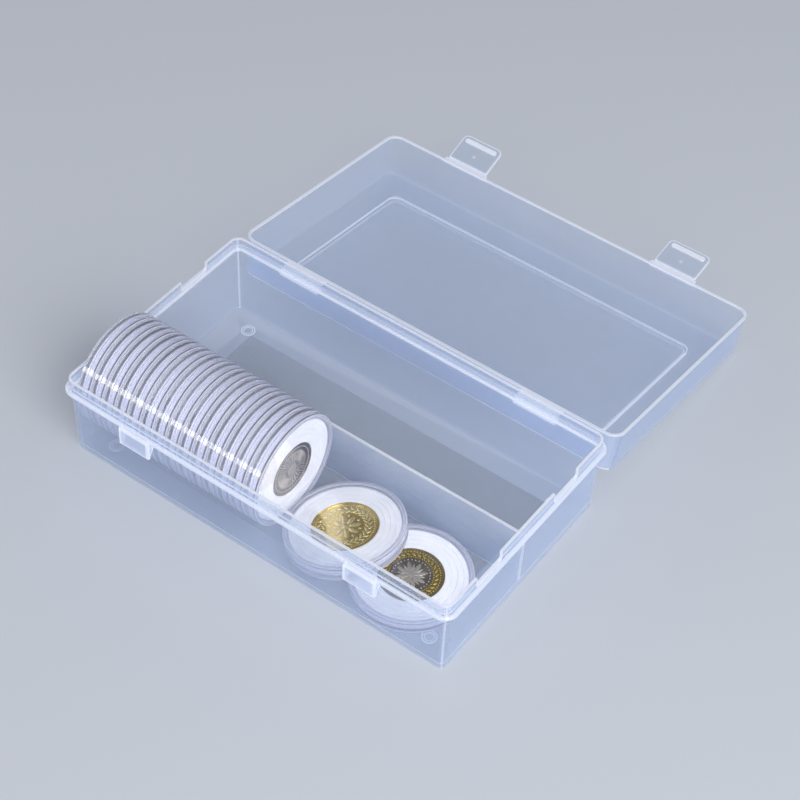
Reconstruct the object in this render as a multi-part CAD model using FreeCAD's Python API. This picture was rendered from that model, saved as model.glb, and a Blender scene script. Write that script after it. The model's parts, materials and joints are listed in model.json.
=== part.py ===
import FreeCAD, Part
import math
import os

Vec = FreeCAD.Vector

# Storage box for coin capsules: a frosted tray with two channels, a lid on living hinges that lies
# open behind it, two latch tabs on the lid, and capsules standing and lying in the front channel.
# Frame: X along the channels, Y from the latches to the hinge, Z up, origin under the middle of the tray.

# Capsule: the piece that the box is sized round.
capsule_diameter = 50.8
capsule_thickness = 6.5
capsule_wall = 1.2
capsule_chamfer = 0.4
parting_groove = 0.2
window_thickness = 1.0
window_recess = 0.6
stacking_rim_width = 1.6
spigot_thickness = 0.9
spigot_rise = 1.6
spigot_fit = 0.05

# Foam ring and coins inside a capsule.
foam_play = 0.15
foam_headroom = 0.1
silver_coin_diameter = 24.6
gold_coin_diameter = 28.0
two_metal_coin_diameter = 27.0
two_metal_ring_width = 4.7
coin_thickness = 1.9
coin_play = 0.1
coin_sink = 0.1
coin_rim_width = 1.1
coin_rim_rise = 0.2
core_fit = 0.02

# Rows of capsules; half of the front row stands on edge, one capsule lies flat and one leans on it.
row_capacity = 28
upright_count = row_capacity // 2
capsule_gap = 0.25
row_end_play = 5.3
row_wall_gap = 0.15
flat_end_gap = 8.1
flat_wall_gap = 0.15
heel_gap = 1.6
seat_gap = 0.05

# Tray.
wall_thickness = 1.2
floor_thickness = 1.3
divider_thickness = 1.0
divider_taper = 0.1
divider_drop = 4.8
channel_play = 1.35
rim_height = 35.9
wall_lean = 0.9
corner_radius = 3.0
foot_round = 0.9

# Rim of the tray: a thin flange that the lid sits on, and a lip that stands inside the lid.
flange_reach = 2.35
flange_thickness = 1.7
flange_bevel = 0.4
ledge_drop = 0.4
lip_height = 5.4
lip_thickness = 1.0
lip_lean = 0.3
lip_play = 0.4

# Lowered stretches of the lip in both end walls, one for each channel.
notch_width = 16.3
notch_offset = -1.4
notch_ease = 3.2
notch_sill = 0.7

# Ring marks in the underside, near the corners.
ring_mark_diameter = 6.6
ring_mark_bore = 3.6
ring_mark_depth = 0.3
ring_mark_inset_x = 13.4
ring_mark_inset_y = 10.2

# Lid.
lid_wall = 1.2
lid_lean = 1.2
lid_seat_gap = 0.25
lid_headroom = 2.5
lid_edge_round = 1.8
panel_step = 1.5
panel_border_x = 14.8
panel_border_y = 17.3
panel_radius = 4.5
table_gap = 0.05

# Living hinge: two straps between the rear flange and the lid.
hinge_centre = 61.5
hinge_width = 20.4
hinge_reach = 2.0
hinge_bead_radius = 0.5
hinge_web = 0.8
hinge_fit = 0.06
hinge_pad_reach = 0.45
hinge_pad_drop = 3.6
hinge_end_gap = 0.2

# Latch tabs on the lid and the catches that they hook under.
latch_centre = 56.9
catch_width = 15.3
catch_thickness = 1.3
catch_drop = 9.6
catch_rib = 1.2
catch_rib_foot = 2.15
catch_root = 0.8
catch_bevel = 0.35
catch_top_drop = 0.3
hook_overhang = 1.0
hook_width = 2.6
hook_rise = 0.9
hook_bevel = 0.3
hook_end_flat = 0.26
hook_play = 0.25
latch_play = 0.3
tab_margin = 1.9
tab_tip = 1.75
tab_thickness = 1.2
tab_corner = 2.6
tab_neck_width = 0.5
tab_root_margin = 1.0
tab_root_thickness = 2.0
tab_bead_radius = 0.45
tab_fit = 0.05
tab_left_angle = 27.0
tab_right_angle = 17.0
pin_mark_diameter = 1.4
pin_mark_rise = 0.2

# Sizes that follow from those above.
capsule_radius = capsule_diameter / 2
capsule_pitch = capsule_thickness + capsule_gap
channel_width = capsule_diameter + channel_play
tray_length = row_capacity * capsule_thickness + row_end_play + 2 * wall_thickness
tray_width = 2 * channel_width + divider_thickness + 2 * wall_thickness
channel_middle = (divider_thickness + channel_width) / 2
rim_offset = wall_lean + flange_reach
lip_offset = rim_offset - lid_wall - lip_play
lip_top = rim_height + lip_height
ledge_height = rim_height - ledge_drop
divider_top = rim_height - divider_drop
half_rim_width = tray_width / 2 + rim_offset
lid_rim = rim_height + lid_seat_gap
lid_top = floor_thickness + capsule_diameter + lid_headroom + panel_step + lid_wall
lid_depth = lid_top - lid_rim
hinge_y = half_rim_width + hinge_reach
hinge_z = rim_height + lid_seat_gap / 2
catch_face = half_rim_width + catch_thickness
catch_bottom = rim_height - catch_drop
hook_top = catch_bottom - hook_play
hook_length = catch_width + 2 * hook_overhang
tab_width = hook_length + 2 * tab_margin
tab_root_width = tab_width + 2 * tab_root_margin
tab_bottom = hook_top - hook_width - tab_tip
tab_y = -(catch_face + latch_play + tab_thickness / 2)
tab_z = lid_rim + tab_bead_radius
row_start = -tray_length / 2 + wall_thickness + row_wall_gap
row_face = row_start + (upright_count - 1) * capsule_pitch + capsule_thickness
flat_capsule_x = tray_length / 2 - wall_thickness - flat_end_gap - capsule_radius
flat_capsule_y = -tray_width / 2 + wall_thickness + flat_wall_gap + capsule_radius
heel_x = row_face + heel_gap
heel_rise = capsule_thickness - window_recess + seat_gap
lean_angle = math.degrees(math.atan2(heel_rise, flat_capsule_x - capsule_radius + capsule_chamfer - heel_x))


def rounded_loop(length, width, radius, z):
    """Rectangle with round corners, centred on Z, as a closed wire."""
    x = length / 2
    y = width / 2
    bulge = radius * (1 - math.sqrt(0.5))
    corners = []
    for sx, sy in ((1, -1), (1, 1), (-1, 1), (-1, -1)):
        along_x = Vec(sx * (x - radius), sy * y, z)
        along_y = Vec(sx * x, sy * (y - radius), z)
        middle = Vec(sx * (x - bulge), sy * (y - bulge), z)
        ends = (along_x, along_y) if sx * sy < 0 else (along_y, along_x)
        corners.append((ends[0], middle, ends[1]))
    edges = []
    for i, (start, middle, end) in enumerate(corners):
        edges.append(Part.Arc(start, middle, end).toShape())
        edges.append(Part.makeLine(end, corners[(i + 1) % 4][0]))
    return Part.Wire(edges)


def box_loop(offset, z):
    """Outline of the box, moved out from the foot of the tray by an offset, at height z."""
    return rounded_loop(tray_length + 2 * offset, tray_width + 2 * offset, corner_radius + offset, z)


def tapered(low_offset, low_z, high_offset, high_z):
    """Solid between two outlines of the box."""
    return Part.makeLoft([box_loop(low_offset, low_z), box_loop(high_offset, high_z)], True, True)


def plate(loop, height):
    return Part.Face(loop).extrude(Vec(0, 0, height))


def bar_along_x(profile, width, centre_x):
    """Prism along X from a profile of (y, z) points."""
    points = [Vec(centre_x - width / 2, y, z) for y, z in profile]
    face = Part.Face(Part.makePolygon(points + points[:1]))
    return face.extrude(Vec(width, 0, 0))


def rod_along_x(radius, width, centre_x, y, z):
    return Part.makeCylinder(radius, width, Vec(centre_x - width / 2, y, z), Vec(1, 0, 0))


def turned(profile):
    """Solid of revolution about Z from a profile of (radius, z) points."""
    points = [Vec(r, 0, z) for r, z in profile]
    face = Part.Face(Part.makePolygon(points + points[:1]))
    return face.revolve(Vec(0, 0, 0), Vec(0, 0, 1), 360)


def level_edges(solid, z):
    """Edges of a solid that lie at one height."""
    return [e for e in solid.Edges if abs(e.BoundBox.ZMin - z) < 1e-6 and abs(e.BoundBox.ZMax - z) < 1e-6]


def fused(first, *rest):
    return first.fuse(list(rest)).removeSplitter()


def tray():
    shell = tapered(0, 0, wall_lean, rim_height)
    shell = shell.makeFillet(foot_round, level_edges(shell, 0))
    flange = plate(box_loop(rim_offset, rim_height - flange_thickness), flange_thickness)
    flange = flange.makeChamfer(flange_bevel, level_edges(flange, rim_height)
                                + level_edges(flange, rim_height - flange_thickness))
    lip = tapered(lip_offset, ledge_height, lip_offset - lip_lean, lip_top)
    inside = tapered(-wall_thickness, floor_thickness, wall_lean - wall_thickness, rim_height)
    lip_inside = tapered(lip_offset - lip_thickness, ledge_height,
                         lip_offset - lip_lean - lip_thickness, lip_top)
    body = fused(shell, flange, lip).cut([inside, lip_inside])
    body = body.cut([lip_notch(side * channel_middle + notch_offset) for side in (-1, 1)])
    pieces = [divider()]
    pieces += [hinge_pad(side * hinge_centre) for side in (-1, 1)]
    pieces += [catch(side * latch_centre) for side in (-1, 1)]
    return fused(body, *pieces).cut(ring_marks())


def divider():
    """Wall between the two channels, a little thinner at its top, let into both end walls."""
    half_low = tray_length / 2 - wall_thickness / 2
    half_high = half_low + wall_lean * divider_top / rim_height
    rows = []
    for half, thickness, z in ((half_low, divider_thickness, floor_thickness / 2),
                               (half_high, divider_thickness - divider_taper, divider_top)):
        y = thickness / 2
        corners = [Vec(-half, -y, z), Vec(half, -y, z), Vec(half, y, z), Vec(-half, y, z)]
        rows.append(Part.makePolygon(corners + corners[:1]))
    return Part.makeLoft(rows, True, True)


def lip_notch(centre_y):
    """Cutter for the lowered lip: square at the latch side, an easy S at the hinge side."""
    half_length = tray_length / 2 + rim_offset
    low = rim_height + notch_sill
    high = lip_top + notch_sill
    front = centre_y - notch_width / 2
    back = centre_y + notch_width / 2
    start = Vec(-half_length, back - notch_ease / 2, low)
    end = Vec(-half_length, back + notch_ease / 2, high)
    curve = Part.BezierCurve()
    curve.setPoles([start, start + Vec(0, notch_ease, 0), end - Vec(0, notch_ease, 0), end])
    edges = [
        Part.makeLine(Vec(-half_length, front, low), start),
        curve.toShape(),
        Part.makeLine(end, Vec(-half_length, front, high)),
        Part.makeLine(Vec(-half_length, front, high), Vec(-half_length, front, low)),
    ]
    return Part.Face(Part.Wire(edges)).extrude(Vec(2 * half_length, 0, 0))


def ring_marks():
    ring = Part.makeCylinder(ring_mark_diameter / 2, ring_mark_depth)
    ring = ring.cut(Part.makeCylinder(ring_mark_bore / 2, ring_mark_depth))
    marks = []
    for sx in (-1, 1):
        for sy in (-1, 1):
            mark = ring.copy()
            mark.translate(Vec(sx * (tray_length / 2 - ring_mark_inset_x),
                               sy * (tray_width / 2 - ring_mark_inset_y), 0))
            marks.append(mark)
    return marks


def hinge_pad(centre_x):
    """Thick stretch under the rear flange that carries a strap."""
    wall_face = tray_width / 2 + wall_lean
    under = rim_height - flange_thickness
    back = half_rim_width + hinge_pad_reach
    top = rim_height - flange_bevel / 2
    inside = wall_face - wall_thickness / 2
    profile = [
        (inside, rim_height - hinge_pad_drop),
        (wall_face, rim_height - hinge_pad_drop),
        (back, under - hinge_pad_reach),
        (back, top),
        (half_rim_width - flange_bevel, top),
        (inside, under),
    ]
    return bar_along_x(profile, hinge_width, centre_x)


def hinge_strap(centre_x):
    """Half of a living-hinge strap on the tray's side, with the bend as a bead on the hinge line."""
    root = half_rim_width + hinge_pad_reach
    top = hinge_z - lid_seat_gap
    profile = [
        (root, top - hinge_web),
        (hinge_y - hinge_bead_radius, top - hinge_web),
        (hinge_y, hinge_z - hinge_bead_radius),
        (hinge_y, top),
        (root, top),
    ]
    web = bar_along_x(profile, hinge_width, centre_x)
    return fused(web, rod_along_x(hinge_bead_radius, hinge_width, centre_x, hinge_y, hinge_z))


def hinge_lug(centre_x):
    """Half of a strap on the lid's side, hollowed round the bead; closed position."""
    low = hinge_z + lid_seat_gap
    profile = [
        (half_rim_width - lid_wall / 2, low),
        (hinge_y - hinge_end_gap, low),
        (hinge_y - hinge_end_gap, low + hinge_web),
        (half_rim_width - lid_wall / 2, low + 2 * hinge_web),
    ]
    lug = bar_along_x(profile, hinge_width, centre_x)
    return lug.cut(rod_along_x(hinge_bead_radius + hinge_fit, hinge_width, centre_x, hinge_y, hinge_z))


def catch(centre_x):
    """Plate that hangs from the front flange, stiffened by a tapering rib at each end."""
    face = -catch_face
    back = -half_rim_width
    wall_face = -(tray_width / 2 + wall_lean) + wall_thickness / 2
    under = rim_height - flange_thickness
    top = rim_height - catch_top_drop
    profile = [
        (face, catch_bottom + catch_bevel),
        (face + catch_bevel, catch_bottom),
        (back, catch_bottom),
        (back, under),
        (back + catch_root, under),
        (back + catch_root, top),
        (face + catch_bevel, top),
        (face, top - catch_bevel),
    ]
    pieces = []
    for side in (-1, 1):
        rib = [
            (back, catch_bottom + catch_rib),
            (back, under),
            (wall_face, under),
            (wall_face, under - catch_rib_foot),
        ]
        pieces.append(bar_along_x(rib, catch_rib, centre_x + side * (catch_width - catch_rib) / 2))
    return fused(bar_along_x(profile, catch_width, centre_x), *pieces)


def tab_root(centre_x):
    """Flange on the lid's front edge that a latch tab bends from; closed position."""
    root = -half_rim_width + lid_wall / 2
    tip = tab_y + tab_neck_width / 2 + tab_fit
    profile = [
        (root, lid_rim),
        (tip, lid_rim),
        (tip, lid_rim + 2 * tab_bead_radius),
        (root, lid_rim + tab_root_thickness),
    ]
    flange = bar_along_x(profile, tab_root_width, centre_x)
    return flange.cut(rod_along_x(tab_bead_radius + tab_fit, tab_root_width, centre_x, tab_y, tab_z))


def lid():
    """Lid in its closed position: a drafted cover whose top panel is set in by one step."""
    shell = tapered(rim_offset, lid_rim, rim_offset - lid_lean, lid_top)
    shell = shell.makeFillet(lid_edge_round, level_edges(shell, lid_top))
    under_top = lid_top - lid_wall
    inner_lean = lid_lean * (under_top - lid_rim) / lid_depth
    inside = tapered(rim_offset - lid_wall, lid_rim, rim_offset - lid_wall - inner_lean, under_top)
    inside = inside.makeChamfer(lid_edge_round - lid_wall, level_edges(inside, under_top))
    panel_length = tray_length + 2 * (rim_offset - lid_lean - panel_border_x)
    panel_width = tray_width + 2 * (rim_offset - lid_lean - panel_border_y)
    step = plate(rounded_loop(panel_length, panel_width, panel_radius, under_top - panel_step),
                 panel_step + lid_wall / 2)
    recess = plate(rounded_loop(panel_length - 2 * lid_wall, panel_width - 2 * lid_wall,
                                panel_radius - lid_wall, lid_top - panel_step), panel_step)
    body = fused(shell.cut(inside), step).cut(recess)
    pieces = [hinge_lug(side * hinge_centre) for side in (-1, 1)]
    pieces += [tab_root(side * latch_centre) for side in (-1, 1)]
    return fused(body, *pieces)


def latch_tab(centre_x):
    """Latch tab hanging in its closed position, with the bead that it bends on and its hook bar."""
    inner_face = tab_y + tab_thickness / 2
    outer_face = tab_y - tab_thickness / 2
    neck = tab_neck_width / 2
    neck_end = lid_rim - tab_fit
    top = neck_end - tab_thickness / 2 + neck
    bottom = tab_bottom
    half = tab_width / 2
    bulge = tab_corner * (1 - math.sqrt(0.5))
    right, left = centre_x + half, centre_x - half

    def at(x, z):
        return Vec(x, outer_face, z)

    outline = [
        Part.makeLine(at(left, top), at(left, bottom + tab_corner)),
        Part.Arc(at(left, bottom + tab_corner), at(left + bulge, bottom + bulge),
                 at(left + tab_corner, bottom)).toShape(),
        Part.makeLine(at(left + tab_corner, bottom), at(right - tab_corner, bottom)),
        Part.Arc(at(right - tab_corner, bottom), at(right - bulge, bottom + bulge),
                 at(right, bottom + tab_corner)).toShape(),
        Part.makeLine(at(right, bottom + tab_corner), at(right, top)),
        Part.makeLine(at(right, top), at(left, top)),
    ]
    leaf = Part.Face(Part.Wire(outline)).extrude(Vec(0, tab_thickness, 0))
    bend = bar_along_x([(tab_y - neck, tab_z), (tab_y + neck, tab_z), (tab_y + neck, neck_end),
                        (inner_face, top), (outer_face, top), (tab_y - neck, neck_end)],
                       tab_width, centre_x)
    bead = rod_along_x(tab_bead_radius, tab_width, centre_x, tab_y, tab_z)
    hook_height = hook_rise + tab_thickness / 2
    hook_corner = (hook_width - hook_end_flat) / 2
    hook = plate(rounded_loop(hook_length, hook_width, hook_corner, 0), hook_height)
    hook = hook.makeChamfer(hook_bevel, level_edges(hook, hook_height))
    hook.rotate(Vec(0, 0, 0), Vec(1, 0, 0), -90)
    hook.translate(Vec(centre_x, tab_y, hook_top - hook_width / 2))
    pin_mark = Part.makeCylinder(pin_mark_diameter / 2, tab_thickness / 2 + pin_mark_rise,
                                 Vec(centre_x, tab_y, (top + hook_top) / 2), Vec(0, 1, 0))
    return fused(leaf, bend, bead, hook, pin_mark)


def lid_opening():
    """Angle from closed to lying open, where the far edge of the lid comes down to the table."""
    reach = half_rim_width - lid_lean - lid_edge_round + hinge_y
    rise = lid_top - lid_edge_round - hinge_z
    drop = hinge_z - lid_edge_round - table_gap
    return 180 + math.degrees(math.asin(drop / math.hypot(reach, rise)) - math.atan2(rise, reach))


def opened(solid):
    solid.rotate(Vec(0, hinge_y, hinge_z), Vec(1, 0, 0), -lid_opening())
    return solid


def raised_tab(centre_x, angle):
    """Latch tab at its angle out from the lid's rim plane, on the open lid."""
    tab = latch_tab(centre_x)
    tab.rotate(Vec(0, tab_y, tab_z), Vec(1, 0, 0), angle - 90)
    return opened(tab)


# Radii and heights inside a capsule, measured from the face of its base half.
parting = capsule_thickness / 2
socket_radius = capsule_radius - capsule_wall
spigot_outer = socket_radius - spigot_fit
spigot_inner = spigot_outer - spigot_thickness
cavity_floor = window_recess + window_thickness
cavity_top = capsule_thickness - cavity_floor
foam_top = cavity_top - foam_headroom
coin_top = foam_top - coin_sink
coin_bottom = coin_top - coin_thickness
core_radius = two_metal_coin_diameter / 2 - two_metal_ring_width
rim_inner = capsule_radius - stacking_rim_width


def capsule_base():
    return turned([
        (0, window_recess),
        (rim_inner, window_recess),
        (rim_inner, 0),
        (capsule_radius, 0),
        (capsule_radius, parting),
        (spigot_outer, parting),
        (spigot_outer, parting + spigot_rise),
        (spigot_inner, parting + spigot_rise),
        (spigot_inner, cavity_floor),
        (0, cavity_floor),
    ])


def capsule_cap():
    return turned([
        (0, cavity_top),
        (socket_radius, cavity_top),
        (socket_radius, parting),
        (capsule_radius - parting_groove, parting),
        (capsule_radius, parting + parting_groove),
        (capsule_radius, capsule_thickness - capsule_chamfer),
        (capsule_radius - capsule_chamfer, capsule_thickness),
        (rim_inner, capsule_thickness),
        (rim_inner, capsule_thickness - window_recess),
        (0, capsule_thickness - window_recess),
    ])


def foam_ring(coin_diameter):
    """Foam ring with a hole that grips a coin."""
    hole = coin_diameter / 2 + coin_play
    return turned([
        (hole, cavity_floor),
        (spigot_inner - foam_play, cavity_floor),
        (spigot_inner - foam_play, foam_top),
        (hole, foam_top),
    ])


def coin(diameter, bore_radius=0):
    """Coin with a raised rim on both faces, or with a bore for a core of another metal."""
    radius = diameter / 2
    field = radius - coin_rim_width
    return turned([
        (bore_radius, coin_bottom + coin_rim_rise),
        (field, coin_bottom + coin_rim_rise),
        (field, coin_bottom),
        (radius, coin_bottom),
        (radius, coin_top),
        (field, coin_top),
        (field, coin_top - coin_rim_rise),
        (bore_radius, coin_top - coin_rim_rise),
    ])


def coin_core():
    height = coin_thickness - 2 * coin_rim_rise
    return Part.makeCylinder(core_radius - core_fit, height, Vec(0, 0, coin_bottom + coin_rim_rise))


def upright(solid, number):
    """Stands a capsule piece on edge in the front channel, its cap towards +X."""
    left_face = row_start + (number - 1) * capsule_pitch
    solid.rotate(Vec(0, 0, 0), Vec(0, 1, 0), 90)
    solid.translate(Vec(left_face, -channel_middle, floor_thickness + seat_gap + capsule_radius))
    return solid


def lying(solid):
    """Lays a capsule piece flat on the floor of the front channel."""
    solid.translate(Vec(flat_capsule_x, flat_capsule_y, floor_thickness + seat_gap))
    return solid


def leaning(solid):
    """Leans a capsule piece from the floor beside the row onto the rim of the capsule that lies flat."""
    solid.translate(Vec(capsule_radius, 0, 0))
    solid.rotate(Vec(0, 0, 0), Vec(0, 1, 0), -lean_angle)
    solid.translate(Vec(heel_x, -channel_middle, floor_thickness + seat_gap))
    return solid


parts = {
    "tray": tray(),
    "lid": opened(lid()),
    "hinge_strap_left": hinge_strap(-hinge_centre),
    "hinge_strap_right": hinge_strap(hinge_centre),
    "latch_tab_left": raised_tab(-latch_centre, tab_left_angle),
    "latch_tab_right": raised_tab(latch_centre, tab_right_angle),
}
for number in range(1, upright_count + 1):
    name = "capsule_%02d" % number
    coin_size = silver_coin_diameter if number == upright_count else two_metal_coin_diameter
    parts[name + "_base"] = upright(capsule_base(), number)
    parts[name + "_cap"] = upright(capsule_cap(), number)
    parts[name + "_foam"] = upright(foam_ring(coin_size), number)
for name, lay, coin_size in (("capsule_flat", lying, two_metal_coin_diameter),
                             ("capsule_leaning", leaning, gold_coin_diameter)):
    parts[name + "_base"] = lay(capsule_base())
    parts[name + "_cap"] = lay(capsule_cap())
    parts[name + "_foam"] = lay(foam_ring(coin_size))
parts["coin_upright"] = upright(coin(silver_coin_diameter), upright_count)
parts["coin_leaning"] = leaning(coin(gold_coin_diameter))
parts["coin_flat_ring"] = lying(coin(two_metal_coin_diameter, core_radius))
parts["coin_flat_core"] = lying(coin_core())

os.makedirs("parts", exist_ok=True)
for name, shape in parts.items():
    if not shape.isValid() or len(shape.Solids) != 1:
        print(name, "is not one valid solid")
    shape.exportStep("parts/" + name + ".step")
print("tray %.1f x %.1f mm, lid %.2f mm deep" % (tray_length, tray_width, lid_depth))
print("lid opens by %.2f degrees" % lid_opening())
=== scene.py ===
# Storage box for coin capsules, lid open: finishes for the moulded box, the clear capsules with their
# foam rings and coins, and the camera, floor and light that they are seen with.
# Sizes are in millimetres unless noted.
import json
import math

import bmesh
import bpy
from mathutils import Matrix, Vector


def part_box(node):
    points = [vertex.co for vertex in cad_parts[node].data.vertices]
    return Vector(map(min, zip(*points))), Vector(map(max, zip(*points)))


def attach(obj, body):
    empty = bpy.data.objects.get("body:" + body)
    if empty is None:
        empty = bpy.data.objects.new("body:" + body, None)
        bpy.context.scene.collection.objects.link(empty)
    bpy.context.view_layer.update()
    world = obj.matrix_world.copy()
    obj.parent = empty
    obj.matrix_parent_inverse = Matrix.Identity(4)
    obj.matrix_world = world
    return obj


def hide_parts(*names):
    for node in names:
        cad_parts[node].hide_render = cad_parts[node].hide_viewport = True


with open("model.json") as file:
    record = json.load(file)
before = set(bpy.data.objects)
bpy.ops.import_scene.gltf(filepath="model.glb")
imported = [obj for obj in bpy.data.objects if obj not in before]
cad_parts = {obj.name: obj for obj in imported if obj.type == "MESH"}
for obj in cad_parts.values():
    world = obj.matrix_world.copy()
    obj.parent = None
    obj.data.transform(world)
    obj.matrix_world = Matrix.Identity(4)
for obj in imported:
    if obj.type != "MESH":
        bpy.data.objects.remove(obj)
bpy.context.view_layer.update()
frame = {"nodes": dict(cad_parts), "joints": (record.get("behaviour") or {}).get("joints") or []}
nodes = frame["nodes"]
joints = {joint["name"]: joint for joint in frame["joints"]}

MM = 0.001

# Box, as the part has it: the top of the tray's lip, half the length and width of its foot, the middle of
# a ring mark in its underside, and the top of a latch tab's hook bar from the middle of the tab's leaf.
lip_top = 41.3
tray_foot = (94.85, 53.85)
ring_mark_middle = (81.45, 43.65)
hook_height = 1.5

# Frosted plastic: its texture, and where painted glow and painted highlights make it look almost white.
cloud_size = 25
grain_size = 0.6
grain_depth = 0.05
eased_edge = 0.3
# Reach of the painted glow on outer edges.
edge_glow_reach = 0.95
# Painted highlight half-way round each upright corner: where the bend starts, and the line's reach, core
# and share.
corner_bend = 2.0
corner_highlight_reach = 1.1
corner_highlight_core = 0.1
corner_highlight_share = 0.5

# Frosted plastic: shares of the light that its milky veil and its gloss send back.
veil_thin = 0.1
veil_thick = 0.14
veil_at_slant = 0.5
# Extra veil where the painted glow is.
veil_on_glow = 0.75
veil_in_shadow = 0.1
veil_glow = 0.4
gloss_face_on = 0.04
gloss_at_slant = 0.6

# Capsule, as the part has it.
capsule_radius = 25.4
capsule_thickness = 6.5
parting = 3.25
stacking_rim = 1.6
window_recess = 0.6
window_floor = 1.6
socket_wall = 1.2
spigot_shoulder = 1.25
spigot_rise = 1.6
spigot_thickness = 0.9
parting_chamfer = 0.2
cap_chamfer = 0.4
edge_round = 0.12

# Painted glow in the capsule's plastic, a milky layer that stands in for light piped in the thick rim:
# where that rim starts, how milky the glow looks, how much more glow a rounded edge gets, and the slope by
# which such an edge is told from a flat face or a wall.
rim_from = 23.2
rim_glow = 0.34
edge_glow = 3.0
edge_slope = 0.05

# Foam ring and coins, as the part has them.
foam_radius = 23.1
foam_low = 1.6
foam_top = 4.8
coin_play = 0.1
coin_low = 2.8
coin_top = 4.7
coin_rim_width = 1.1
coin_rim_rise = 0.2
silver_radius = 12.3
gold_radius = 14.0
two_metal_radius = 13.5
core_radius = 8.8
core_fit = 0.02
field_level = coin_top - coin_rim_rise
back_field_level = coin_low + coin_rim_rise
relief_rise = 0.17
coin_edge = 0.08

# Cut lines of the foam ring, which peels out ring by ring for larger coins, and its soft shape.
score_radii = (21.0, 18.6, 16.2)
score_width = 0.3
score_depth = 0.25
narrowest_band = 1
foam_crown = 0.06
foam_edge = 0.35
foam_waist = 0.18

# Meshes: sides of a round piece, the angle in degrees from which an edge is sharp, and how near and how
# level a face or an edge has to be to be picked.
round_sides = 128
sharp_angle = 30
near = 0.01
near_circle = 0.02
level = 0.99

# Sockets of a Mix node that mixes two colours.
FIRST = 6
SECOND = 7
MIXED = 2


def linear(hex_colour):
    """An sRGB hex colour as linear RGBA."""
    parts = [int(hex_colour[i:i + 2], 16) / 255 for i in (1, 3, 5)]
    return tuple(c / 12.92 if c <= 0.04045 else ((c + 0.055) / 1.055) ** 2.4 for c in parts) + (1.0,)


def node(tree, kind, inputs=None, **settings):
    """Adds a shader node. An input takes a value, a socket, or a node, whose first output is linked."""
    made = tree.nodes.new("ShaderNode" + kind)
    for name, value in settings.items():
        setattr(made, name, value)
    for socket, value in (inputs or {}).items():
        if isinstance(value, bpy.types.Node):
            value = value.outputs[0]
        if isinstance(value, bpy.types.NodeSocket):
            tree.links.new(value, made.inputs[socket])
        else:
            made.inputs[socket].default_value = value
    return made


def new_finish(name):
    """An empty material and its node tree."""
    finish = bpy.data.materials.new(name)
    finish.use_nodes = True
    finish.node_tree.nodes.clear()
    return finish, finish.node_tree


def dress(piece, finish):
    """Gives a piece one finish all over."""
    piece.data.materials.clear()
    piece.data.materials.append(finish)


# Finishes.

def painted_corner_highlight(tree, out, aside, foot):
    """A painted highlight: the bright line half-way round each upright corner, from 0 to 1."""
    past_end, past_side = [node(tree, "Math", {0: distance, 1: half * MM}, operation="SUBTRACT")
                           for distance, half in zip((out, aside), foot)]
    apart = node(tree, "Math", {0: past_end, 1: past_side}, operation="SUBTRACT")
    off_line = node(tree, "Math", {0: apart}, operation="ABSOLUTE")
    line = node(tree, "MapRange", {"Value": off_line, "From Min": corner_highlight_reach * MM,
                                   "From Max": corner_highlight_core * MM}, interpolation_type="SMOOTHSTEP")
    in_bend = node(tree, "Math", {0: past_end, 1: -corner_bend * MM}, operation="GREATER_THAN")
    return node(tree, "Math", {0: line, 1: in_bend}, operation="MULTIPLY")


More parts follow.
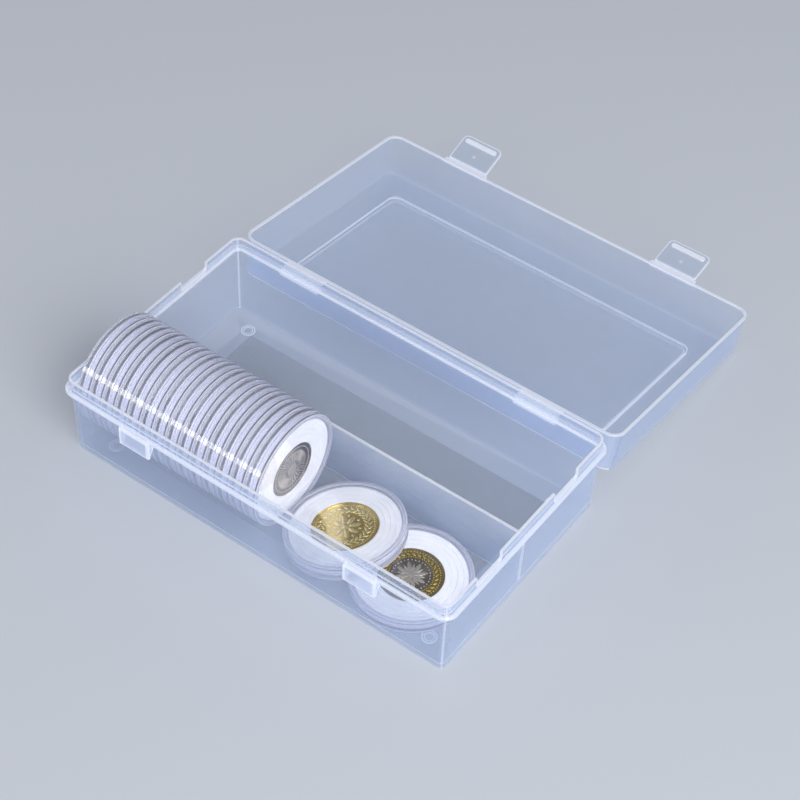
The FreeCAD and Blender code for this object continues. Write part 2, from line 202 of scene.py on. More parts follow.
def painted_glow(tree, rim_point, rim_normal, rim_reach, rim_glow_share, zones, foot, ring_middle):
    """How white the painted glow, which stands in for light piped through the plastic, makes it look at
    each spot, from 0 to 1: outer edges, rims, zones and painted highlights on the upright corners.
    A zone has a name, its share of white, whether it is on side faces only, and its bounds: height from
    the rim's plane, distance along that plane towards the back, distance out from the middle, and distance
    from the middle of the nearest ring mark."""
    place = node(tree, "TexCoord")
    # Painted glow on outer edges, where the next face is less than a millimetre away inside the plastic.
    near_edge = node(tree, "AmbientOcclusion", {"Distance": edge_glow_reach * MM}, samples=8, inside=True,
                     only_local=True)
    edge = node(tree, "MapRange", {"Value": near_edge.outputs["AO"], "From Min": 0.97, "From Max": 0.72})
    # Painted glow on rims: faces that look the way the rim's plane looks, within reach below it.
    from_rim = node(tree, "VectorMath", {0: place.outputs["Object"], 1: [c * MM for c in rim_point]},
                    operation="SUBTRACT")
    above = node(tree, "VectorMath", {0: from_rim, 1: rim_normal}, operation="DOT_PRODUCT")
    height = above.outputs["Value"]
    facing = node(tree, "VectorMath", {0: place.outputs["Normal"], 1: rim_normal},
                  operation="DOT_PRODUCT")
    looks = facing.outputs["Value"]
    near_rim = node(tree, "Math", {0: height, 1: -rim_reach * MM}, operation="GREATER_THAN")
    looks_up = node(tree, "MapRange", {"Value": looks, "From Min": 0.6, "From Max": 0.9})
    rim = node(tree, "Math", {0: near_rim, 1: looks_up}, operation="MULTIPLY")
    white = node(tree, "Math", {0: rim, 1: rim_glow_share, 2: edge}, operation="MULTIPLY_ADD", use_clamp=True)
    # Painted glow in zones, some of them only on sides: faces that turn 60 degrees or more from the way
    # the rim looks.
    turned = node(tree, "Math", {0: looks}, operation="ABSOLUTE")
    is_side = node(tree, "Math", {0: turned, 1: math.cos(math.radians(60))}, operation="LESS_THAN")
    backward = (0, rim_normal[2], -rim_normal[1])
    behind = node(tree, "VectorMath", {0: from_rim, 1: backward}, operation="DOT_PRODUCT")
    across = node(tree, "SeparateXYZ", {0: place.outputs["Object"]})
    out = node(tree, "Math", {0: across.outputs["X"]}, operation="ABSOLUTE")
    aside = node(tree, "Math", {0: across.outputs["Y"]}, operation="ABSOLUTE")
    measures = {"height": height, "along": behind.outputs["Value"], "out": out}
    if ring_middle is not None:
        quarter = node(tree, "CombineXYZ", {0: out, 1: aside})
        middle = [c * MM for c in ring_middle] + [0]
        from_middle = node(tree, "VectorMath", {0: quarter, 1: middle}, operation="DISTANCE")
        measures["ring"] = from_middle.outputs["Value"]
    for zone, share, sides_only, bounds in zones:
        inside = is_side if sides_only else 1.0
        for measure, (low, high) in bounds.items():
            band = node(tree, "Math", {0: measures[measure], 1: (low + high) / 2 * MM,
                                       2: (high - low) / 2 * MM}, operation="COMPARE")
            inside = node(tree, "Math", {0: band, 1: inside}, operation="MULTIPLY")
        white = node(tree, "Math", {0: inside, 1: share, 2: white}, operation="MULTIPLY_ADD",
                     use_clamp=True, label=zone)
    # Painted highlights on the upright corners.
    if foot is not None:
        lines = painted_corner_highlight(tree, out, aside, foot)
        white = node(tree, "Math", {0: lines, 1: corner_highlight_share, 2: white}, operation="MULTIPLY_ADD",
                     use_clamp=True)
    return white


def frosted_polypropylene(name, rim_point, rim_normal, rim_reach, rim_glow_share, zones=(), foot=None,
                          ring_middle=None):
    """Polypropylene, injection moulded with a fine matt texture: a thin wall shows what is behind it
    through a cool milky veil, and the rims, outer edges, steps and thick lugs get a painted glow, standing
    in for the light they pipe, and look almost white."""
    finish, tree = new_finish(name)
    white = painted_glow(tree, rim_point, rim_normal, rim_reach, rim_glow_share, zones, foot, ring_middle)
    place = node(tree, "TexCoord")
    # Matt texture with grains of about 0.15 mm, drawn at grain_size so that they show.
    grains = node(tree, "TexNoise", {"Vector": place.outputs["Object"], "Scale": 1 / (grain_size * MM),
                                     "Detail": 2.0})
    eased = node(tree, "Bevel", {"Radius": eased_edge * MM}, samples=4)
    frost = node(tree, "Bump", {"Strength": 0.1, "Distance": grain_depth * MM,
                                "Height": grains.outputs["Fac"], "Normal": eased})
    # The veil is thicker in clouds where the melt cooled unevenly, on the places with painted glow, and
    # where a slanting view crosses more plastic.
    clouds = node(tree, "TexNoise", {"Vector": place.outputs["Object"], "Scale": 1 / (cloud_size * MM),
                                     "Detail": 3.0})
    veil_face = node(tree, "MapRange", {"Value": clouds.outputs["Fac"], "From Min": 0.3, "From Max": 0.7,
                                        "To Min": veil_thin, "To Max": veil_thick})
    slant = node(tree, "LayerWeight", {"Blend": 0.5})
    slanted = node(tree, "Math", {0: slant.outputs["Facing"], 1: 3.0}, operation="POWER")
    veil_slant = node(tree, "Math", {0: slanted, 1: veil_at_slant, 2: veil_face},
                      operation="MULTIPLY_ADD")
    veil = node(tree, "Math", {0: white, 1: veil_on_glow, 2: veil_slant}, operation="MULTIPLY_ADD",
                use_clamp=True)
    # The veil sends the blue of the light back, turning near white where the painted glow is, and lets the
    # rest glow through.
    milk = node(tree, "Mix", {"Factor": white, FIRST: linear("#c6d7f6"), SECOND: linear("#fafbff")},
                data_type="RGBA")
    lit = node(tree, "BsdfDiffuse", {"Color": milk.outputs[MIXED], "Normal": frost})
    glow = node(tree, "BsdfTranslucent", {"Color": linear("#e6ebf5"), "Normal": frost})
    scatter = node(tree, "MixShader", {0: veil_glow, 1: lit, 2: glow})
    # Lamplight that the veil scatters goes on through the wall, so the wall shades little.
    ray = node(tree, "LightPath")
    in_shadow = ray.outputs["Is Shadow Ray"]
    tint = node(tree, "Mix", {"Factor": in_shadow, FIRST: linear("#f5f7fa"), SECOND: linear("#fbfcfe")},
                data_type="RGBA")
    clear = node(tree, "BsdfTransparent", {"Color": tint.outputs[MIXED]})
    passing = node(tree, "Math", {0: in_shadow, 1: veil_in_shadow - 1, 2: 1.0}, operation="MULTIPLY_ADD")
    seen_veil = node(tree, "Math", {0: veil, 1: passing}, operation="MULTIPLY")
    body = node(tree, "MixShader", {0: seen_veil, 1: clear, 2: scatter})
    # Satin gloss on the outer face of the wall, rising at a slant.
    rise = node(tree, "Math", {0: slant.outputs["Facing"], 1: 5.0}, operation="POWER")
    sheen = node(tree, "Math", {0: rise, 1: gloss_at_slant, 2: gloss_face_on}, operation="MULTIPLY_ADD",
                 use_clamp=True)
    face = node(tree, "NewGeometry")
    outer = node(tree, "Math", {0: 1.0, 1: face.outputs["Backfacing"]}, operation="SUBTRACT")
    gloss_share = node(tree, "Math", {0: sheen, 1: outer}, operation="MULTIPLY")
    gloss = node(tree, "BsdfAnisotropic", {"Color": linear("#ffffff"), "Roughness": 0.25,
                                           "Normal": frost})
    surface = node(tree, "MixShader", {0: gloss_share, 1: body, 2: gloss})
    node(tree, "OutputMaterial", {"Surface": surface})
    return finish


def clear_polystyrene():
    """Crystal polystyrene from a polished mould: water-clear windows with bright reflections and a trace
    of handling haze; the thick rims get a painted glow, greyish white, standing in for the light they
    gather."""
    finish, tree = new_finish("crystal_polystyrene_polished")
    place = node(tree, "TexCoord")
    # Handling haze in patches of about 8 mm.
    patches = node(tree, "TexNoise", {"Vector": place.outputs["Object"], "Scale": 1 / (8 * MM),
                                      "Detail": 4.0})
    haze = node(tree, "MapRange", {"Value": patches.outputs["Fac"], "From Min": 0.35, "From Max": 0.75,
                                   "To Min": 0.015, "To Max": 0.07})
    glass = node(tree, "BsdfPrincipled", {"Base Color": linear("#fbfcff"), "Roughness": haze, "IOR": 1.59,
                                          "Transmission Weight": 1.0})
    # Painted glow: a milky greyish white layer on the thick rim and rounded edges, standing in for light
    # they pipe.
    rim = node(tree, "Attribute", attribute_name="rim")
    milk = node(tree, "Math", {0: rim.outputs["Fac"], 1: rim_glow}, operation="MULTIPLY", use_clamp=True)
    lit = node(tree, "BsdfDiffuse", {"Color": linear("#dedfea")})
    glow = node(tree, "BsdfTranslucent", {"Color": linear("#dedfea")})
    rim_glow_layer = node(tree, "MixShader", {0: 0.5, 1: lit, 2: glow})
    body = node(tree, "MixShader", {0: milk, 1: glass, 2: rim_glow_layer})
    # Lamps reach the foam and the coin through the thin windows.
    dimmed = node(tree, "Mix", {"Factor": rim.outputs["Fac"], FIRST: linear("#edeff4"),
                                SECOND: linear("#e4e6ec")}, data_type="RGBA")
    through = node(tree, "BsdfTransparent", {"Color": dimmed.outputs[MIXED]})
    ray = node(tree, "LightPath")
    surface = node(tree, "MixShader", {0: ray.outputs["Is Shadow Ray"], 1: body, 2: through})
    node(tree, "OutputMaterial", {"Surface": surface})
    return finish


def white_foam():
    """Closed-cell polyethylene foam, die cut from sheet: bright matt white with a fine skin of cells."""
    finish, tree = new_finish("polyethylene_foam_die_cut")
    place = node(tree, "TexCoord")
    # Cells of about 0.4 mm, drawn at 0.7 mm so that they show.
    cells = node(tree, "TexVoronoi", {"Vector": place.outputs["Object"], "Scale": 1 / (0.7 * MM)})
    skin = node(tree, "Bump", {"Strength": 0.25, "Distance": 0.1 * MM,
                               "Height": cells.outputs["Distance"]})
    # Mottling in patches of about 6 mm.
    mottle = node(tree, "TexNoise", {"Vector": place.outputs["Object"], "Scale": 1 / (6 * MM),
                                     "Detail": 3.0})
    shade = node(tree, "Mix", {"Factor": mottle.outputs["Fac"], FIRST: linear("#e7e6e9"),
                               SECOND: linear("#f8f7f9")}, data_type="RGBA")
    foam = node(tree, "BsdfPrincipled", {"Base Color": shade.outputs[MIXED], "Roughness": 0.85,
                                         "Specular IOR Level": 0.25, "Normal": skin})
    node(tree, "OutputMaterial", {"Surface": foam})
    return finish


def struck_metal(name, bright, toned, roughness):
    """Coin metal struck between polished dies: a toned, smooth field and brighter, frosted relief, both
    with soft patches of toning."""
    finish, tree = new_finish(name)
    place = node(tree, "TexCoord")
    relief = node(tree, "Attribute", attribute_name="relief")
    # Toning in patches of about 6 mm.
    patches = node(tree, "TexNoise", {"Vector": place.outputs["Object"], "Scale": 1 / (6 * MM),
                                      "Detail": 4.0})
    shift = node(tree, "MapRange", {"Value": patches.outputs["Fac"], "From Min": 0.35, "From Max": 0.65,
                                    "To Min": -0.15, "To Max": 0.25})
    share = node(tree, "Math", {0: relief.outputs["Fac"], 1: shift}, operation="ADD", use_clamp=True)
    colour = node(tree, "Mix", {"Factor": share, FIRST: linear(toned), SECOND: linear(bright)},
                  data_type="RGBA")
    # Frosting of about 0.05 mm on the relief, drawn at 0.25 mm so that it shows.
    grains = node(tree, "TexNoise", {"Vector": place.outputs["Object"], "Scale": 1 / (0.25 * MM),
                                     "Detail": 2.0})
    frost = node(tree, "Bump", {"Strength": 0.04, "Distance": 0.02 * MM, "Height": grains.outputs["Fac"]})
    lustre = node(tree, "MapRange", {"Value": relief.outputs["Fac"], "To Min": roughness,
                                     "To Max": roughness + 0.16})
    metal = node(tree, "BsdfPrincipled", {"Base Color": colour.outputs[MIXED], "Metallic": 1.0,
                                          "Roughness": lustre, "Normal": frost})
    node(tree, "OutputMaterial", {"Surface": metal})
    return finish


def tilted(degrees):
    """The upward direction, leant over to the back."""
    return (0, math.sin(math.radians(degrees)), math.cos(math.radians(degrees)))


# The open lid leans back by what it turns beyond half a turn to close.
lid_hinge = [c / MM for c in joints["lid_hinge"]["pos_m"]]
lid_tilt = -180 - joints["lid_hinge"]["range_deg"][0]

# Zones that look whiter with painted glow, which stands in for light piped through thick parts and for
# bright lines at steps and ring marks. The tray's are measured from the middle of the plane on its lip,
# the lid's from the hinge line.
hinge_span = (51.2, 71.8)
ring_mark_floor = (-41.05, -40.95)
catch_height = (-15.2, -5.4)
catch_run = (-60.0, -55.0)
tray_zones = [
    ("lip", 0.1, True, {"height": (-5.4, 0.1)}),
    ("flange edge", 0.3, True, {"height": (-7.1, -5.4)}),
    # Painted highlights: bright lines at the outer and inner edges of the ring marks.
    ("ring mark, outer edge", 1.0, False, {"height": ring_mark_floor, "ring": (2.7, 3.35)}),
    ("ring mark, inner edge", 1.0, False, {"height": ring_mark_floor, "ring": (1.75, 2.25)}),
    ("catch face", 0.4, False, {"along": (-60.0, -57.15)}),
    ("catch lower edge", 0.5, False, {"height": (-15.2, -14.2), "along": (-60.0, -56.0)}),
    ("catch inner rib", 0.4, False, {"height": catch_height, "along": catch_run, "out": (49.2, 50.5)}),
    ("catch outer rib", 0.4, False, {"height": catch_height, "along": catch_run, "out": (63.3, 64.6)}),
    ("hinge pad and strap", 0.8, False,
     {"height": (-9.1, -4.6), "along": (54.9, 60.0), "out": hinge_span}),
]
lid_zones = [
    ("rim side", 0.5, True, {"height": (-1.0, 0.3)}),
    ("step round the panel", 0.7, True,
     {"height": (-20.0, -18.4), "along": (10.0, 108.0), "out": (0.0, 90.0)}),
    ("hinge lug", 0.6, False, {"height": (-2.0, 0.0), "along": (0.0, 2.7), "out": hinge_span}),
    # Painted glow lightens the wall beside the hinge, where the narrow gap to the tray puts it in shade.
    ("wall beside the hinge", 0.25, True, {"height": (-19.3, -1.0), "along": (0.0, 5.5)}),
    ("lower edge of that wall", 0.9, False, {"height": (-21.2, -19.3), "along": (0.0, 5.2)}),
]
tray_plastic = frosted_polypropylene(
    "polypropylene_frosted_tray", rim_point=(0, 0, lip_top), rim_normal=tilted(0), rim_reach=11.5,
    rim_glow_share=0.7, zones=tray_zones, foot=tray_foot, ring_middle=ring_mark_middle)
lid_plastic = frosted_polypropylene(
    "polypropylene_frosted_lid", rim_point=lid_hinge, rim_normal=tilted(lid_tilt), rim_reach=2.0,
    rim_glow_share=0.9, zones=lid_zones)


def tab_plastic(side):
    """Finish of one latch tab: only the top of its hook bar is thick enough to take the rim's painted
    glow, which stands in for piped light and looks white.
    """
    bend = joints["latch_%s_bend" % side]
    up = tilted(lid_tilt - 90 - bend["range_deg"][0])
    hook_top = [c / MM + hook_height * u for c, u in zip(bend["pos_m"], up)]
    return frosted_polypropylene("polypropylene_frosted_tab_" + side, rim_point=hook_top, rim_normal=up,
                                 rim_reach=0.3, rim_glow_share=1.0)


styrene = clear_polystyrene()
foam = white_foam()
gold = struck_metal("brass_coin_struck", "#f6e3a4", "#ebcf7c", 0.1)
old_gold = struck_metal("brass_coin_toned", "#e2c468", "#9a853c", 0.16)
silver = struck_metal("cupronickel_coin_struck", "#d2cac0", "#a89f94", 0.24)
old_silver = struck_metal("cupronickel_coin_toned", "#d6cdbf", "#7d7366", 0.2)

for name in ("tray", "hinge_strap_left", "hinge_strap_right"):
    dress(nodes[name], tray_plastic)
dress(nodes["lid"], lid_plastic)
for side in ("left", "right"):
    dress(nodes["latch_tab_" + side], tab_plastic(side))


# Shaping by hand in edit mode.

def blank(name, radius, low, high):
    """A plain disc to turn a round piece from, from height low to high."""
    bpy.ops.object.select_all(action="DESELECT")
    bpy.ops.mesh.primitive_cylinder_add(vertices=round_sides, radius=radius * MM, depth=(high - low) * MM,
                                        location=(0, 0, (low + high) / 2 * MM), end_fill_type="NGON")
    piece = bpy.context.active_object
    piece.name = name
    bpy.ops.object.transform_apply(location=True)
    return piece


def start_picking(piece, kind):
    """Deselects all of a piece in edit mode, ready to pick faces or edges, and returns its mesh."""
    bpy.ops.object.mode_set(mode="EDIT")
    bpy.ops.mesh.select_mode(type=kind)
    bpy.ops.mesh.select_all(action="DESELECT")
    return bmesh.from_edit_mesh(piece.data)


def pick_middle(piece, test):
    """Selects the level faces on the axis whose height in millimetres and normal pass a test."""
    mesh = start_picking(piece, "FACE")
    for face in mesh.faces:
        centre = face.calc_center_median() / MM
        on_axis = centre.xy.length < near and abs(face.normal.z) > level
        face.select = on_axis and test(centre.z, face.normal)
    mesh.select_flush_mode()
    bmesh.update_edit_mesh(piece.data)


def pick_end(piece, height, way):
    """Selects the face on the axis at one height that looks up (way 1) or down (way -1)."""
    pick_middle(piece, lambda z, normal: abs(z - height) < near and normal.z * way > 0)


def pick_circle(piece, radius, height):
    """Selects the edges of one circle."""
    mesh = start_picking(piece, "EDGE")
    for edge in mesh.edges:
        corners = [corner.co / MM for corner in edge.verts]
        edge.select = all(abs(c.xy.length - radius) < near_circle and abs(c.z - height) < near
                          for c in corners)
    mesh.select_flush_mode()
    bmesh.update_edit_mesh(piece.data)


def step_in(width, rise):
    """Insets the selected end face and pushes its middle up or down."""
    bpy.ops.mesh.inset(thickness=width * MM)
    bpy.ops.mesh.extrude_region_move(TRANSFORM_OT_translate={"value": (0, 0, rise * MM)})


def ring_in(width, rise):
    """Insets the selected end face and moves it, so that the ring between slopes."""
    bpy.ops.mesh.inset(thickness=width * MM)
    bpy.ops.transform.translate(value=(0, 0, rise * MM))


def open_hole(piece):
    """Joins the upper and the lower middle face into a hole through the piece."""
    pick_middle(piece, lambda z, normal: True)
    bpy.ops.mesh.bridge_edge_loops()


def bevel_circle(piece, radius, height, width, segments):
    """Bevels the edge round one circle."""
    pick_circle(piece, radius, height)
    bpy.ops.mesh.bevel(offset=width * MM, segments=segments, affect="EDGES")


def finished(piece, round_width, smooth_angle=sharp_angle):
    """Smooths the shading and rounds the sharp edges a little, leaving flat faces flat."""
    bpy.ops.object.mode_set(mode="OBJECT")
    bpy.ops.object.select_all(action="DESELECT")
    piece.select_set(True)
    bpy.context.view_layer.objects.active = piece
    bpy.ops.object.shade_smooth_by_angle(angle=math.radians(smooth_angle))
    if round_width:
        rounding = piece.modifiers.new("edge_round", "BEVEL")
        rounding.width = round_width * MM
        rounding.segments = 2
        rounding.limit_method = "ANGLE"
        rounding.angle_limit = math.radians(sharp_angle)
        rounding.harden_normals = True
        bpy.ops.object.modifier_apply(modifier=rounding.name)
    return piece


# Capsule halves, foam rings and coins, each modelled once, lying flat on the origin.

def mark_rim(piece):
    """Notes on each face how much painted glow it gets, for the light it gathers: 0 in the thin window, 1
    in the thick rim, and edge_glow on a rounded edge."""
    mark = piece.data.attributes.new("rim", "FLOAT", "FACE")
    for face, note in zip(piece.data.polygons, mark.data):
        on_edge = edge_slope < abs(face.normal.z) < 1 - edge_slope
        note.value = edge_glow if on_edge else float(face.center.xy.length > rim_from * MM)
    return piece


def capsule_base():
    """Lower half: a recessed window in a stacking rim, and a spigot that the cap pushes over."""
    piece = blank("capsule_base_pattern", capsule_radius, 0, parting)
    pick_end(piece, 0, -1)
    step_in(stacking_rim, window_recess)
    pick_end(piece, parting, 1)
    step_in(spigot_shoulder, spigot_rise)
    step_in(spigot_thickness, window_floor - parting - spigot_rise)
    return mark_rim(finished(piece, edge_round))


def capsule_cap():
    """Upper half: a recessed window in a stacking rim, and a socket for the spigot."""
    piece = blank("capsule_cap_pattern", capsule_radius, parting, capsule_thickness)
    pick_end(piece, capsule_thickness, 1)
    step_in(stacking_rim, -window_recess)
    pick_end(piece, parting, -1)
    step_in(socket_wall, capsule_thickness - window_floor - parting)
    bevel_circle(piece, capsule_radius, parting, parting_chamfer, segments=1)
    bevel_circle(piece, capsule_radius, capsule_thickness, cap_chamfer, segments=1)
    return mark_rim(finished(piece, edge_round))


def foam_ring(coin_radius):
    """Die-cut foam ring: edges drawn in by the cut, cut lines in the top, a slight swell between them."""
    hole = coin_radius + coin_play
    piece = blank("foam_ring_pattern_%d" % round(coin_radius * 10), foam_radius, foam_low, foam_top)
    pick_end(piece, foam_top, 1)
    at = foam_radius
    for line in [r for r in score_radii if r > hole + narrowest_band] + [hole]:
        band = at - line - score_width / 2
        ring_in(band / 2, foam_crown)
        ring_in(band / 2, -foam_crown)
        if line != hole:
            ring_in(score_width / 2, -score_depth)
            ring_in(score_width / 2, score_depth)
            at = line - score_width / 2
        else:
            bpy.ops.mesh.inset(thickness=score_width / 2 * MM)
    pick_end(piece, foam_low, -1)
    bpy.ops.mesh.inset(thickness=(foam_radius - hole) * MM)
    open_hole(piece)
    for radius in (foam_radius, hole):
        for height in (foam_low, foam_top):
            bevel_circle(piece, radius, height, foam_edge, segments=3)
    middle = (foam_low + foam_top) / 2
    bpy.ops.mesh.select_all(action="SELECT")
    bpy.ops.mesh.bisect(plane_co=(0, 0, middle * MM), plane_no=(0, 0, 1))
    for radius, drawn in ((foam_radius, foam_radius - foam_waist), (hole, hole + foam_waist)):
        pick_circle(piece, radius, middle)
        bpy.ops.transform.resize(value=(drawn / radius, drawn / radius, 1),
                                 center_override=(0, 0, middle * MM))
    return finished(piece, 0, smooth_angle=40)


def raised_mark():
    """One smooth boss, two long, two wide and one high, that the coins' ornament is laid out with."""
    bpy.ops.object.select_all(action="DESELECT")
    bpy.ops.mesh.primitive_uv_sphere_add(segments=12, ring_count=8, radius=1)
    boss = bpy.context.active_object
    bpy.ops.object.mode_set(mode="EDIT")
    bpy.ops.mesh.select_all(action="SELECT")
    bpy.ops.mesh.bisect(plane_co=(0, 0, 0), plane_no=(0, 0, 1), clear_inner=True, use_fill=True)
    finished(boss, 0, smooth_angle=60)
    mark = boss.data.attributes.new("relief", "FLOAT", "FACE")
    mark.data.foreach_set("value", [1.0] * len(boss.data.polygons))
    return boss


def struck(piece, boss, layout):
    """Joins copies of the boss to a coin's face. Each has its distance from the middle, its bearing, its
    length and width, and its turn on its own spot."""
    copies = []
    for out, bearing, length, width, turn in layout:
        copy = bpy.data.objects.new("boss", boss.data.copy())
        bpy.context.scene.collection.objects.link(copy)
        copy.data.transform(
            Matrix.Rotation(math.radians(bearing), 4, "Z")
            @ Matrix.Translation((out * MM, 0, field_level * MM))
            @ Matrix.Rotation(math.radians(turn), 4, "Z")
            @ Matrix.Diagonal((length / 2 * MM, width / 2 * MM, relief_rise * MM, 1)))
        copies.append(copy)
    bpy.ops.object.select_all(action="DESELECT")
    for copy in copies:
        copy.select_set(True)
    piece.select_set(True)
    bpy.context.view_layer.objects.active = piece
    bpy.ops.object.join()
    return piece


def ring_of(count, out, length, width, turn=0, start=0):
    """Layout of equal marks round a circle."""
    return [(out, start + i * 360 / count, length, width, turn) for i in range(count)]


def coin_disc(name, radius):
    """Coin blank with a raised rim on both faces."""
    piece = blank(name, radius, coin_low, coin_top)
    pick_end(piece, coin_top, 1)
    step_in(coin_rim_width, -coin_rim_rise)
    pick_end(piece, coin_low, -1)
    step_in(coin_rim_width, coin_rim_rise)
    return finished(piece, coin_edge)


def gold_coin(boss):
    """Brass coin: a rosette of eight petals in a closed wreath, inside a ring of beads."""
    piece = coin_disc("gold_coin_pattern", gold_radius)
    beads = ring_of(72, 12.25, 0.62, 0.62)
    wreath = ring_of(26, 10.6, 2.9, 1.05, turn=52) + ring_of(26, 8.9, 2.9, 1.05, turn=128, start=7)
    petals = ring_of(8, 4.1, 5.2, 2.2) + ring_of(8, 6.4, 1.5, 1.0, start=22.5)
    heart = ring_of(1, 0, 2.6, 2.6)
    return struck(piece, boss, beads + wreath + petals + heart)


def silver_coin(boss):
    """Cupronickel coin: a sunburst of plain rays inside a ring of beads."""
    piece = coin_disc("silver_coin_pattern", silver_radius)
    beads = ring_of(64, 10.6, 0.6, 0.6)
    rays = ring_of(24, 6.6, 5.6, 0.75) + ring_of(24, 8.3, 1.6, 0.6, start=7.5)
    sun = ring_of(1, 0, 5.6, 5.6)
    return struck(piece, boss, beads + rays + sun)


def two_metal_ring(boss):
    """Outer ring of the two-metal coin: slanting leaves between two circles of beads."""
    piece = coin_disc("two_metal_ring_pattern", two_metal_radius)
    for height, way in ((field_level, 1), (back_field_level, -1)):
        pick_end(piece, height, way)
        bpy.ops.mesh.inset(thickness=(two_metal_radius - coin_rim_width - core_radius) * MM)
    open_hole(piece)
    finished(piece, 0)
    outer_beads = ring_of(60, 11.9, 0.55, 0.55)
    leaves = ring_of(30, 10.45, 2.0, 0.85, turn=50)
    inner_beads = ring_of(60, 9.15, 0.4, 0.4)
    return struck(piece, boss, outer_beads + leaves + inner_beads)


def two_metal_core(boss):
    """Core of the two-metal coin: a compass star of sixteen points round a boss, in a ring of dots."""
    piece = blank("two_metal_core_pattern", core_radius - core_fit, back_field_level, field_level)
    finished(piece, coin_edge)
    star = ring_of(8, 3.6, 6.4, 1.9) + ring_of(8, 3.9, 3.6, 0.9, start=22.5)
    middle = ring_of(1, 0, 2.4, 2.4)
    dots = ring_of(32, 7.7, 0.6, 0.6)
    return struck(piece, boss, star + middle + dots)


base_pattern = capsule_base()
cap_pattern = capsule_cap()
foam_patterns = {r: foam_ring(r) for r in (silver_radius, gold_radius, two_metal_radius)}


# The capsules and coins, set in their places.

def placed(pattern, name, turn, finish, stands_for, body):
    """A copy of a pattern with its own mesh, set in its place, standing for a piece of the part."""
    copy = bpy.data.objects.new(name, pattern.data.copy())
    bpy.context.scene.collection.objects.link(copy)
    copy.data.transform(turn)
    dress(copy, finish)
    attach(copy, body)
    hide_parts(stands_for)
    return copy


def stood_up(number):
    """From lying on the origin to standing on edge in the row."""
    low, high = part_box("capsule_%02d_base" % number)
    middle = (low + high) / 2
    return Matrix.Translation((low.x, middle.y, middle.z)) @ Matrix.Rotation(math.radians(90), 4, "Y")


def laid_flat():
    """From lying on the origin to lying in the channel."""
    low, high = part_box("capsule_flat_base")
    middle = (low + high) / 2
    return Matrix.Translation((middle.x, middle.y, low.z))


def leant_over():
    """From lying on the origin to leaning on the flat capsule, its heel on the channel's floor."""
    low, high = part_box("capsule_leaning_base")
    lean = math.asin(-joints["capsule_leaning_cap_pull"]["axis"][0])
    heel = Vector((low.x + parting * MM * math.sin(lean), (low.y + high.y) / 2, low.z))
    return (Matrix.Translation(heel) @ Matrix.Rotation(-lean, 4, "Y")
            @ Matrix.Translation((capsule_radius * MM, 0, 0)))


last_upright = 14
capsules = [("capsule_%02d" % n, stood_up(n), two_metal_radius) for n in range(1, last_upright)]
capsules.append(("capsule_14", stood_up(last_upright), silver_radius))
capsules.append(("capsule_flat", laid_flat(), two_metal_radius))
capsules.append(("capsule_leaning", leant_over(), gold_radius))
for name, turn, coin_radius in capsules:
    cap_body = "capsule_leaning_cap_body" if name == "capsule_leaning" else name
    placed(base_pattern, name + "_lower_half", turn, styrene, name + "_base", name)
    placed(cap_pattern, name + "_upper_half", turn, styrene, name + "_cap", cap_body)
    foam_pattern = foam_patterns[coin_radius]
    ring = placed(foam_pattern, name + "_foam_ring", turn, foam, name + "_foam", name)
boss = raised_mark()
coins = (
    ("coin_upright", silver_coin(boss), "capsule_14", stood_up(last_upright), silver, "silver_coin"),
    ("coin_leaning", gold_coin(boss), "capsule_leaning", leant_over(), gold, "gold_coin"),
    ("coin_flat_ring", two_metal_ring(boss), "capsule_flat", laid_flat(), old_gold, "gold_coin"),
    ("coin_flat_core", two_metal_core(boss), "capsule_flat", laid_flat(), old_silver, "silver_coin"),
)
for name, pattern, body, turn, metal, slot in coins:
    placed(pattern, name + "_struck", turn, metal, name, body)
coin_patterns = [coin[1] for coin in coins]
for pattern in (base_pattern, cap_pattern, boss, *foam_patterns.values(), *coin_patterns):
    bpy.data.objects.remove(pattern)


# Camera, floor and light, in metres, degrees and watts.
camera_place = (0.34708, -0.46041, 0.66384)
camera_turn = (43.0289, -1.9296, 36.4421)
camera_lens = 94.337
camera_sensor = 36
floor_size = 30

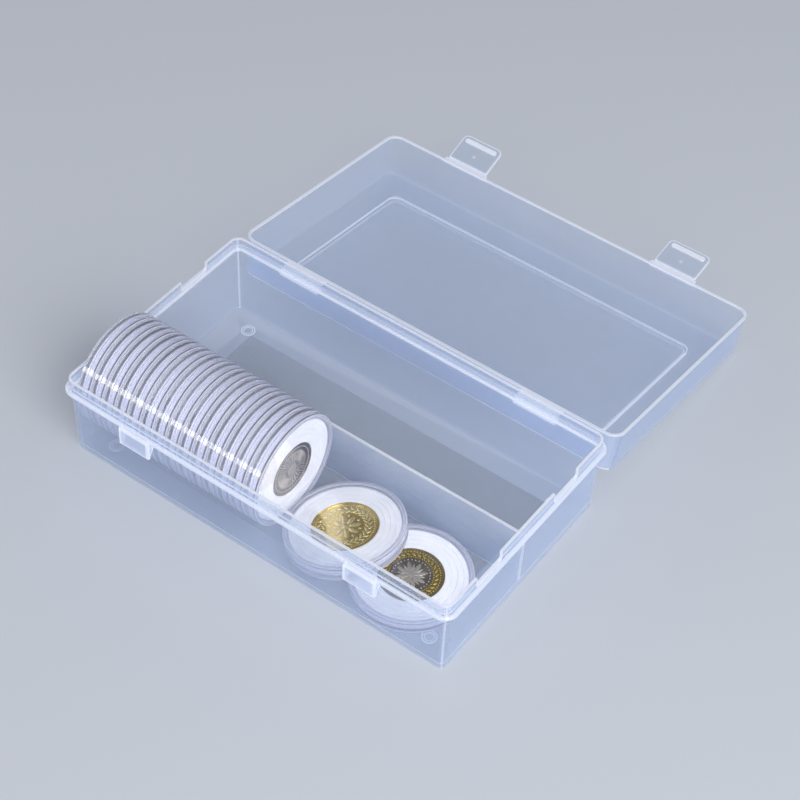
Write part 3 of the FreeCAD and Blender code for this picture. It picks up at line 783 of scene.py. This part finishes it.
scene = bpy.context.scene
camera_data = bpy.data.cameras.new("camera")
camera_data.sensor_width = camera_sensor
camera_data.lens = camera_lens
camera = bpy.data.objects.new("camera", camera_data)
camera.location = camera_place
camera.rotation_euler = [math.radians(a) for a in camera_turn]
scene.collection.objects.link(camera)
scene.camera = camera

bpy.ops.object.select_all(action="DESELECT")
bpy.ops.mesh.primitive_plane_add(size=floor_size, location=(0, 0, 0))
floor = bpy.context.active_object
floor.name = "studio_floor"
paper, paper_tree = new_finish("matt_paper_floor")
paper_face = node(paper_tree, "BsdfPrincipled", {"Base Color": linear("#bdc1c8"), "Roughness": 0.9,
                                                 "Specular IOR Level": 0.1})
node(paper_tree, "OutputMaterial", {"Surface": paper_face})
dress(floor, paper)


def softbox(name, place, target, width, height, power):
    """A rectangular lamp that faces its target."""
    lamp_data = bpy.data.lights.new(name, "AREA")
    lamp_data.shape = "RECTANGLE"
    lamp_data.size = width
    lamp_data.size_y = height
    lamp_data.energy = power
    lamp = bpy.data.objects.new(name, lamp_data)
    lamp.location = place
    lamp.rotation_euler = (Vector(target) - Vector(place)).to_track_quat("-Z", "Y").to_euler()
    scene.collection.objects.link(lamp)


softbox("key_softbox", place=(1.2, -0.6, 1.05), target=(0, 0.05, 0), width=1.3, height=1.3, power=25)
softbox("front_softbox", place=(-0.85, -1.6, 0.52), target=(0, -0.03, 0.02), width=1.1, height=0.3,
        power=10)

# The room is brighter on the side of the key light and falls off towards the far left.
bright_way = (0.55, -0.6, 0.58)
studio = bpy.data.worlds.new("studio")
studio.use_nodes = True
room = studio.node_tree
room.nodes.clear()
look = node(room, "TexCoord")
towards = node(room, "VectorMath", {0: look.outputs["Generated"], 1: bright_way}, operation="DOT_PRODUCT")
brightness = node(room, "MapRange", {"Value": towards.outputs["Value"], "From Min": -0.4, "From Max": 0.6,
                                     "To Min": 0.28, "To Max": 0.86})
air = node(room, "Background", {"Color": linear("#d8dbe2"), "Strength": brightness})
node(room, "OutputWorld", {"Surface": air})
scene.world = studio

scene.view_settings.view_transform = "Standard"
scene.cycles.max_bounces = 24
scene.cycles.transmission_bounces = 24
scene.cycles.transparent_max_bounces = 64
